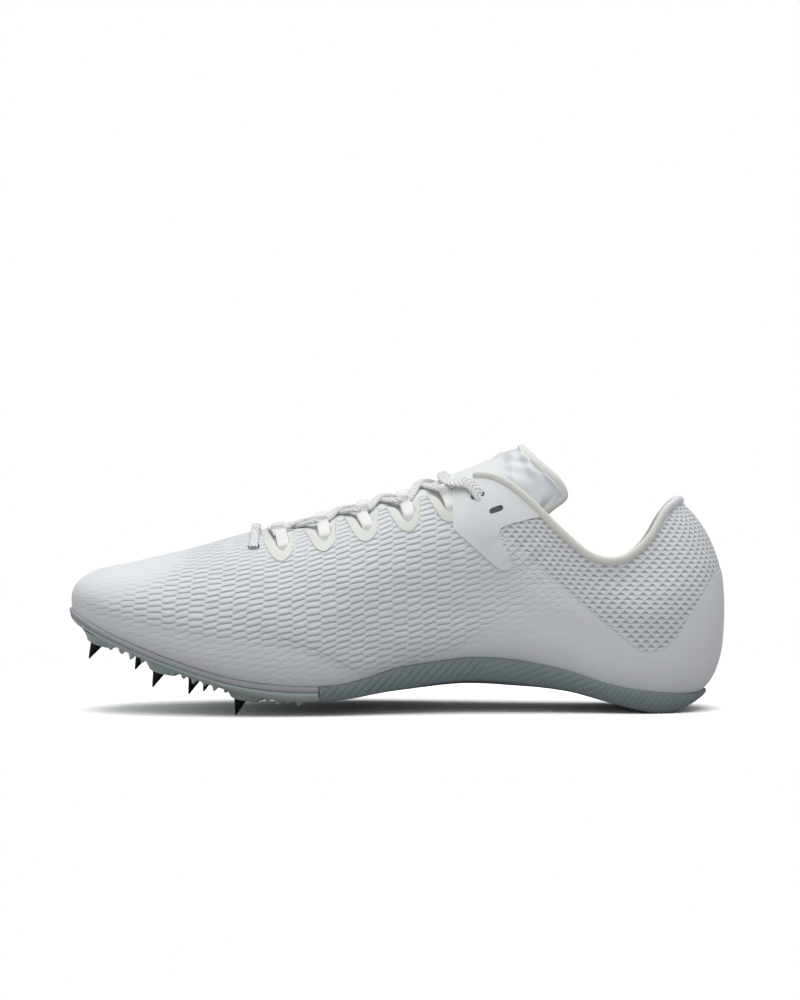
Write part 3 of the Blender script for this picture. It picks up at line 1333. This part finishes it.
@dataclass
class Forefoot:
    """The forefoot sole: the rand, the moulded plate with its bosses and teeth, and the spikes."""

    bench: Bench
    last: Last
    end: float = 107.7
    rand: float = 2.7
    belly: float = 0.8
    tuck: float = 2.4
    toe_tuck: float = 1.0
    toe_room: float = 9.0
    spike_length: float = 6.8
    spike_radius: float = 2.5
    tip_radius: float = 0.35
    solid_tip: float = 0.5
    boss_radius: float = 6.0
    boss_depth: float = 3.0
    boss_tail: float = 1.7
    tooth_pitch: float = 4.5
    spikes: tuple[Spike, ...] = (
        Spike(40, -170, 27, False), Spike(137, -302, 22, False), Spike(261, -344, 16, True),
        Spike(301, 375, 16, True), Spike(204, 312, 19, False), Spike(102, 188, 24, False),
        Spike(186, 10, 20, False))

    def underside(self, x: float, y: float) -> float:
        """Height of the plate's underside, which hangs by a parabola between its two edges."""
        place = self.last.place_at(np.array([x]))
        medial, lateral = self.last.station(place), self.last.station(RING - place)
        w = (y - medial["y"]) / (lateral["y"] - medial["y"])
        low = medial["joint"] - medial["thick"]
        low = low + w * (lateral["joint"] - lateral["thick"] - low)
        return float((low - self.belly * (1 - (2 * w - 1) ** 2))[0])

    def seat_of(self, spike: Spike) -> tuple[Array, float]:
        """A spike's seat and the depth of its boss."""
        x, y = spike.x * PER_MILLE * self.last.length, spike.y * PER_MILLE * self.last.ball_width
        lean = np.radians(spike.lean)
        plate = self.underside(x, y)
        reach = self.spike_length * np.cos(lean) + self.solid_tip * np.sin(lean)
        height = reach if spike.floor else plate - self.boss_depth
        return np.array([x, y, height]), plate - height

    def lathe(self, profile: Sequence[tuple[float, float]], seat_point: Array, lean: float,
              segments: int, facets: tuple[int, float] = (1, 0.0)) -> Sheet:
        """A profile of radius and height turned about an axis that leans in X.

        Args:
            profile: radius and height, from one end on the axis to the other.
            seat_point: where height 0 lies.
            lean: the lean in degrees, towards the toe below the seat.
            segments: steps round the axis.
            facets: how many facets, and the share of the radius by which their edges stand out.

        Returns:
            The closed grid.
        """
        radius, height = np.array(profile, float).T
        angle = np.linspace(0, TAU, segments + 1)
        turn = np.radians(lean)
        wide = radius[:, None] * (1 + facets[1] * np.cos(facets[0] * angle)[None])
        x, y = wide * np.cos(angle), wide * np.sin(angle)
        z = height[:, None] + 0 * angle
        points = np.stack([x * np.cos(turn) + z * np.sin(turn), y, z * np.cos(turn) - x * np.sin(turn)], -1)
        return Sheet(points + seat_point)

    def build(self) -> list[Piece]:
        """Makes the rand, the plate and the spikes."""
        end = float(self.last.place_at(np.array([self.end]))[0])
        rand = Layer(0, end, lambda at: at["joint"] - 0.05, lambda at: at["joint"] - self.rand,
                     round_edge(1.2, 0.2, 12))
        pieces = [seat(self.bench.make("forefoot_rand", [rand.sheet(self.last)]), ["forefoot_midsole"],
                       LIP)]
        pieces.append(self.plate(end))
        for index, spike in enumerate(self.spikes):
            point, _ = self.seat_of(spike)
            profile = [(0, -self.spike_length), (self.tip_radius * 0.7, -self.spike_length + 0.05),
                       (self.tip_radius, -self.spike_length + 0.3), (1.25, -3.7), (2.2, -0.7),
                       (self.spike_radius - 0.1, -0.35), (self.spike_radius - 0.1, 0.15),
                       (1.9, 0.35), (1.9, 2.4), (0, 2.6)]
            sheet = self.lathe(profile, point, spike.lean, 40, (4, 0.06))
            pieces.append(seat(self.bench.make(f"spike_steel_{index + 1}", [sheet]),
                               [f"spike_{index + 1}"], STEEL, 30))
        return pieces

    def toe_relief(self, along: Array, height: Array, depth: Array) -> Array:
        """Eases the tuck towards the tip of the toe, whose tight curve has no room for all of it."""
        return (self.tuck - self.toe_tuck) * depth**2 * smoothstep(self.toe_room, 0.0, along)

    def plate(self, end: float) -> Piece:
        """The plate with a flared boss round each spike and ragged teeth along both edges."""
        layer = Layer(0, end, lambda at: at["joint"] - self.rand, lambda at: at["joint"] - at["thick"],
                      round_edge(0.9, self.tuck, 16), belly=self.belly)
        piece = self.bench.make("spike_plate_moulding", [layer.sheet(self.last, self.toe_relief)])
        for spike in self.spikes:
            point, depth = self.seat_of(spike)
            r = self.boss_radius
            profile = [(0, 0.05), (0.62 * r, 0.05), (0.74 * r, 0.3), (0.82 * r, 1.0), (0.92 * r, 0.5 * depth),
                       (1.1 * r, 0.8 * depth), (1.4 * r, depth + 0.5), (0, depth + 0.6)]
            local = self.lathe(profile, np.zeros(3), spike.lean, 36, (9, 0.015)).points
            local[..., 0] *= np.where(local[..., 0] > 0, self.boss_tail, 1.0)
            tool = self.bench.make("boss", [Sheet(local + point)])
            self.bench.combine(piece, tool, "UNION")
        for tool in self.teeth():
            self.bench.combine(piece, tool, "UNION")
        return seat(piece, ["spike_plate"], PLATE, 35)

    def teeth(self) -> list[Piece]:
        """Small slanted pyramids of two sizes along the edges, clear of the bosses."""
        tools = []
        for index, x in enumerate(np.arange(14.0, self.end - 4, self.tooth_pitch)):
            for sign, inset in ((1, 5.0), (-1, 5.0), (1, 14.0), (-1, 14.0)):
                place = self.last.place_at(np.array([x]))
                edge = self.last.station(place if sign > 0 else RING - place)["y"][0]
                y = edge + sign * inset
                near = any(np.hypot(s.x * PER_MILLE * self.last.length - x,
                                    s.y * PER_MILLE * self.last.ball_width - y) < self.boss_radius + 1.6
                           for s in self.spikes)
                if near:
                    continue
                tall = 1.9 if (index + (inset > 10)) % 2 else 1.2
                point = np.array([x, y, self.underside(x, y)])
                profile = [(0, -tall), (0.5, -tall + 0.15), (1.7, 0.2), (1.7, 0.9), (0, 0.9)]
                tools.append(self.bench.make("tooth", [self.lathe(profile, point, 18, 5)]))
        return tools


@dataclass
class Heel:
    """The foam wedge from the arch to the heel, and the sockliner."""

    bench: Bench
    last: Last
    front: float = 108.0
    groove: float = 0.55
    gap: float = 0.3

    def grooves(self, x: Array, z: Array, depth: Array) -> Array:
        """Slanted grooves, as a V-shaped dip on lines of equal x less a share of z.

        They are close at the front, sparse along the arch and fine at the heel.

        Args:
            x: length along the shoe.
            z: height.
            depth: share of the layer's depth.

        Returns:
            How far each point stands out, which is not above 0.
        """
        result = 0 * x
        for start, end, pitch, lean, size in ((104, 182, 3.7, 0.9, 1.0), (176, 232, 7.5, 2.6, 0.6),
                                              (226, 282, 2.6, 0.8, 0.55)):
            phase = ((x - lean * z) / pitch) % 1
            dip = np.clip(1 - np.abs(phase - 0.5) / 0.2, 0, 1)
            there = smoothstep(start, start + 6, x) * (1 - smoothstep(end - 6, end, x))
            result = result - self.groove * size * dip * there
        return result * smoothstep(0.03, 0.15, depth) * (1 - smoothstep(0.85, 1, depth))

    def build(self) -> list[Piece]:
        """Makes the wedge and the sockliner."""
        start = float(self.last.place_at(np.array([self.front]))[0])
        wedge = Layer(start, LAST_SECTION, lambda at: at["joint"] - 0.05,
                      lambda at: at["joint"] - at["thick"], round_edge(1.6, 1.6, 26),
                      belly=1.2, across=16, steps=760)
        foam = self.bench.make("foam_wedge", [wedge.sheet(self.last, self.grooves)])
        inset = -(self.last.wall + 2 * self.gap)
        edge = np.array([[inset - 0.5, 0], [inset, 0.2], [inset, 1]])
        liner = Layer(0.05, LAST_SECTION - 0.05, lambda at: at["joint"] + self.gap + 2.5,
                      lambda at: at["joint"] + self.gap, edge)
        sock = self.bench.make("sockliner", [liner.sheet(self.last)])
        return [seat(foam, ["midsole"], FOAM, 50),
                seat(sock, ["insole"], SOCK)]


@dataclass
class Lacing:
    """The lace, and the webbing loops that carry it."""

    bench: Bench
    last: Last
    throat: Throat
    tongue: Tongue
    lace_width: float = 1.95
    lace_height: float = 0.95
    last_bar: float = 0.35
    lift: float = 1.25

    def eyelet(self, index: int, side: Side) -> Array:
        """Where the lace passes through a loop, over the throat's edge."""
        x, z = self.throat.floor(index)
        return self.face_at(x - 1.9, z + 9.5, side) + np.array([0.0, -0.2 * side.value, 0.2])

    def over_tongue(self, x: float) -> Array:
        """A point just above the middle of the tongue."""
        t = np.linspace(0, 1, 300)
        spine = self.tongue.arch(t, 0 * t)
        return np.array([np.interp(x, spine[:, 0], spine[:, axis]) for axis in range(3)]) + UP * self.lift

    def strand(self, first: Side) -> Array:
        """Rows of x, y, z and a flat-side vector for one half of the lace, from the front to its top slot."""
        rows = []
        side = first
        start = self.over_tongue(84.0)
        rows.append([84.0, start[1] - 3.0 * side.value, start[2] - 1.2, 0, 0, 1])
        for index in range(self.throat.count):
            point = self.eyelet(index, side)
            out = side.value
            edge = self.last.top_at(point[0] - 3.2, side)[0]
            rows.append([*(edge + np.array([0.0, 0.2 * out, 0.3])), -0.2, 0.6 * out, 1])
            rows.append([*point, 0, 0.9 * out, 0.5])
            rows.append([*(point + np.array([2.8, -2.6 * out, 0.2])), 0, 0.7 * out, 1])
            final = index == self.throat.count - 1
            crossing = self.over_tongue(point[0] + (-1.0 if final else 8.0))
            level = (0.4 if final else 0.8) * first.value * (1 if index % 2 else -1)
            rows.append([*(crossing + UP * (level + 0.4)), -0.3, 0, 1])
            side = Side(-side.value)
        edge = self.last.top_at(163.5, side)[0]
        out = side.value
        rows.append([*(edge + np.array([0.0, 0.8 * out, 1.6])), -0.3, 0.4 * out, 1])
        face = self.face_at(*self.last.spot(604, 936), side)
        rows.append([*(face + np.array([0.5, 1.9 * out, 1.5])), 0, out, 0.5])
        face = self.face_at(*self.last.spot(*self.throat.top_slot), side)
        rows.append([*(face + np.array([0.8, 0.3 * out, -0.2])), 0, out, 1.0])
        rows.append([*(face + np.array([0.9, -3.2 * out, -1.2])), 0, 0, 1.0])
        return np.array(rows)

    def face_at(self, x: float, z: float, side: Side) -> Array:
        """The point of the upper's outer face at a length and a height."""
        v = np.linspace(1, 2, 80)
        u = np.linspace(3, 13, 200)
        grid = self.last.surface(u if side is Side.MEDIAL else RING - u, v)
        far = (grid[..., 0] - x) ** 2 + (grid[..., 2] - z) ** 2
        return grid[np.unravel_index(np.argmin(far), far.shape)]

    def cord(self, name: str, rows: Array) -> Piece:
        """The braid along rows of places and flat-side vectors."""
        data = evenly(rows, 0.8)
        side = np.cross(unit(np.gradient(data[:, :3], axis=0)), unit(data[:, 3:]))
        wide = 1 + self.last_bar * smoothstep(159, 166, data[:, 0])
        scale = np.stack([wide, 1 / wide], axis=1) * closing(len(data), 3)[:, None]
        sheet = sweep(data[:, :3], side, ellipse(self.lace_width, self.lace_height, 20, 2.6), scale)
        return seat(self.bench.make(name, [sheet]), ["lace"], BRAID, 80)

    def front_bar(self) -> Piece:
        """The bar across the front of the throat, down into the front slot on each side."""
        rows = []
        for side in Side:
            face = self.face_at(79.7, 71.4, side)
            high = self.face_at(80.0, 76.0, side)
            out = side.value
            leg = [[*(face + np.array([0, -2.6 * out, -0.8])), 0, 0.3 * out, 1],
                   [*(face + np.array([0, 0.6 * out, 0.2])), 0, out, 1],
                   [*(high + np.array([0, 1.3 * out, 0.6])), 0, out, 0.7]]
            if side is Side.MEDIAL:
                top = self.last.top_at(80.0)[0]
                rows += [*leg, [80.2, top[1] - 5.0, top[2] + 1.9, 0, -0.2, 1],
                         [80.2, top[1] + 5.0, top[2] + 1.9, 0, 0.2, 1]]
            else:
                rows += leg[::-1]
        return self.cord("lace_front_bar", np.array(rows))

    def loop(self, index: int, side: Side) -> Piece:
        """A flat loop that comes up inside its notch, over the lace and back down inside the wall."""
        x, z = self.throat.floor(index)
        eye = self.eyelet(index, side)
        low = self.face_at(x + 0.6, z + 1.5, side)
        middle = self.face_at(x - 1.0, z + 7.0, side)
        out = np.array([0.0, side.value, 0.0])
        path = np.array([
            low - out * 2.4 - UP * 4, low - out * 1.2 + UP * 1.0, middle - out * 0.5,
            eye + out * 1.75 - UP * 0.6, eye + out * 1.2 + UP * 1.3, eye + UP * 1.95,
            eye - out * 1.7 + UP * 1.0, eye - out * 2.3 - UP * 1.0, middle - out * 3.4,
            low - out * 3.4 - UP * 2])
        path = evenly(path, 0.5)
        sides = np.broadcast_to(np.array([1.0, 0.0, 0.22]), path.shape)
        sheet = sweep(path, sides, ellipse(2.6, 0.4, 20, 3.5), closing(len(path), 2))
        word = side.name.lower()
        return seat(self.bench.make(f"webbing_loop_{word}_{index + 1}", [sheet]),
                    [f"webbing_{word}_{index + 1}"], WEBBING, 60)

    def build(self) -> list[Piece]:
        """Makes the two strands, the front bar and the ten loops."""
        pieces = [self.cord(f"lace_strand_{side.name.lower()}", self.strand(side)) for side in Side]
        pieces.append(self.front_bar())
        pieces += [self.loop(index, side) for side in Side for index in range(self.throat.count)]
        return pieces


@dataclass
class Studio:
    """The camera, a pale floor and plain soft light."""

    view_width: float = 348.5
    distance: float = 2000.0
    aim: tuple[float, float, float] = (0.6, 0.0, 90.8)
    elevation: float = 2.5
    sensor: float = 36.0
    floor_gain: float = 1.52
    floor_half: float = 6.0
    floor_sink: float = 0.0002
    floor_bounce: tuple[float, float, float, float] = (0.43, 0.43, 0.44, 1.0)
    fade: tuple[float, float] = (0.19, 0.3)
    # Name, place in metres, size and watts
    lamps: tuple[tuple[str, tuple[float, float, float], float, float], ...] = (
        ("key", (-0.1, -0.6, 1.7), 1.6, 15), ("top", (0.0, 0.4, 1.8), 1.6, 11))

    def camera(self) -> None:
        """A long lens level with the shoe's medial side."""
        data = bpy.data.cameras.new("camera")
        data.sensor_fit = "HORIZONTAL"
        data.sensor_width = self.sensor
        data.lens = self.sensor * self.distance / self.view_width
        data.clip_end = 50
        camera = bpy.data.objects.new("camera", data)
        tilt = np.radians(self.elevation)
        offset = np.array([0, -np.cos(tilt), np.sin(tilt)]) * self.distance
        camera.location = (np.array(self.aim) + offset) * MM
        camera.rotation_euler = (np.pi / 2 - tilt, 0, 0)
        bpy.context.scene.collection.objects.link(camera)
        bpy.context.scene.camera = camera

    def floor(self) -> None:
        """A wide white floor, which throws back less light than it shows."""
        mesh = bpy.data.meshes.new("studio_floor")
        half = self.floor_half
        mesh.from_pydata([(-half, -half, 0), (half, -half, 0), (half, half, 0), (-half, half, 0)], [],
                         [(0, 1, 2, 3)])
        plane = bpy.data.objects.new("studio_floor", mesh)
        bpy.context.scene.collection.objects.link(plane)
        plane.location.z = -self.floor_sink
        material = bpy.data.materials.new("white_paper_sweep")
        material.use_nodes = True
        tree = material.node_tree
        tree.nodes.clear()
        seen = add(tree, "LightPath", output="Is Camera Ray")
        shown = (self.floor_gain,) * 3 + (1.0,)
        colour = blend(tree, seen, self.floor_bounce, shown, clamp_result=False)
        paper = add(tree, "BsdfDiffuse", {"Color": colour})
        place = add(tree, "TexCoord", output="Object")
        far = add(tree, "VectorMath", {0: place}, output="Value", operation="LENGTH")
        far = ramp(tree, far, self.fade, smooth=True)
        far = math(tree, "MULTIPLY", far, seen)
        white = add(tree, "Emission", {"Color": linear("#ffffff"), "Strength": 1.0})
        surface = add(tree, "MixShader", {0: far, 1: paper, 2: white})
        add(tree, "OutputMaterial", {"Surface": surface})
        mesh.materials.append(material)

    def light(self, name: str, place: Sequence[float], size: float, power: float) -> None:
        """A square soft light at a place in metres, turned to the shoe."""
        data = bpy.data.lights.new(name, "AREA")
        data.energy = power
        data.size = size
        lamp = bpy.data.objects.new(name, data)
        lamp.location = place
        target = np.array([0, 0, 0.05]) - np.array(place)
        lamp.rotation_euler = Vector(target).to_track_quat("-Z", "Y").to_euler()
        bpy.context.scene.collection.objects.link(lamp)

    def world(self) -> None:
        """White where the camera sees it, and a soft dome that is brighter above for the shoe."""
        world = bpy.data.worlds.new("studio")
        bpy.context.scene.world = world
        world.use_nodes = True
        tree = world.node_tree
        tree.nodes.clear()
        direction = add(tree, "TexCoord", output="Generated")
        height = add(tree, "SeparateXYZ", {0: direction}, output=2)
        dome = ramp(tree, height, (-0.2, 0.9), (0.31, 0.5))
        seen = add(tree, "LightPath", output="Is Camera Ray")
        strength = add(tree, "Mix", {0: seen, 2: dome, 3: 1.0})
        light = add(tree, "Background", {"Color": linear("#ffffff"), "Strength": strength})
        add(tree, "OutputWorld", {"Surface": light})

    def build(self) -> None:
        """Sets up the view and the light."""
        self.camera()
        self.floor()
        self.world()
        for lamp in self.lamps:
            self.light(*lamp)
        view = bpy.context.scene.view_settings
        view.view_transform = "Standard"
        view.look = "None"


def main() -> None:
    """Builds the studio and the shoe's sub-assemblies in order."""
    logging.basicConfig(level=logging.INFO, format="%(message)s")
    last = Last()
    Studio().build()
    surface = last.surface(np.linspace(0, RING, 2000), np.linspace(0, 2, 60)).reshape(-1, 3)
    low, high = (np.array(corner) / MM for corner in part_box("upper"))
    shift = ((low + high) - (surface.min(axis=0) + surface.max(axis=0))) / 2
    shift[2] = 0
    bench = Bench(shift)
    throat = Throat(last)
    tongue = Tongue(bench, last)
    UpperAssembly(bench, last, throat).build()
    Collar(bench, last).build()
    tongue.build()
    Forefoot(bench, last).build()
    Heel(bench, last).build()
    Lacing(bench, last, throat, tongue).build()


if __name__ == "__main__":
    main()
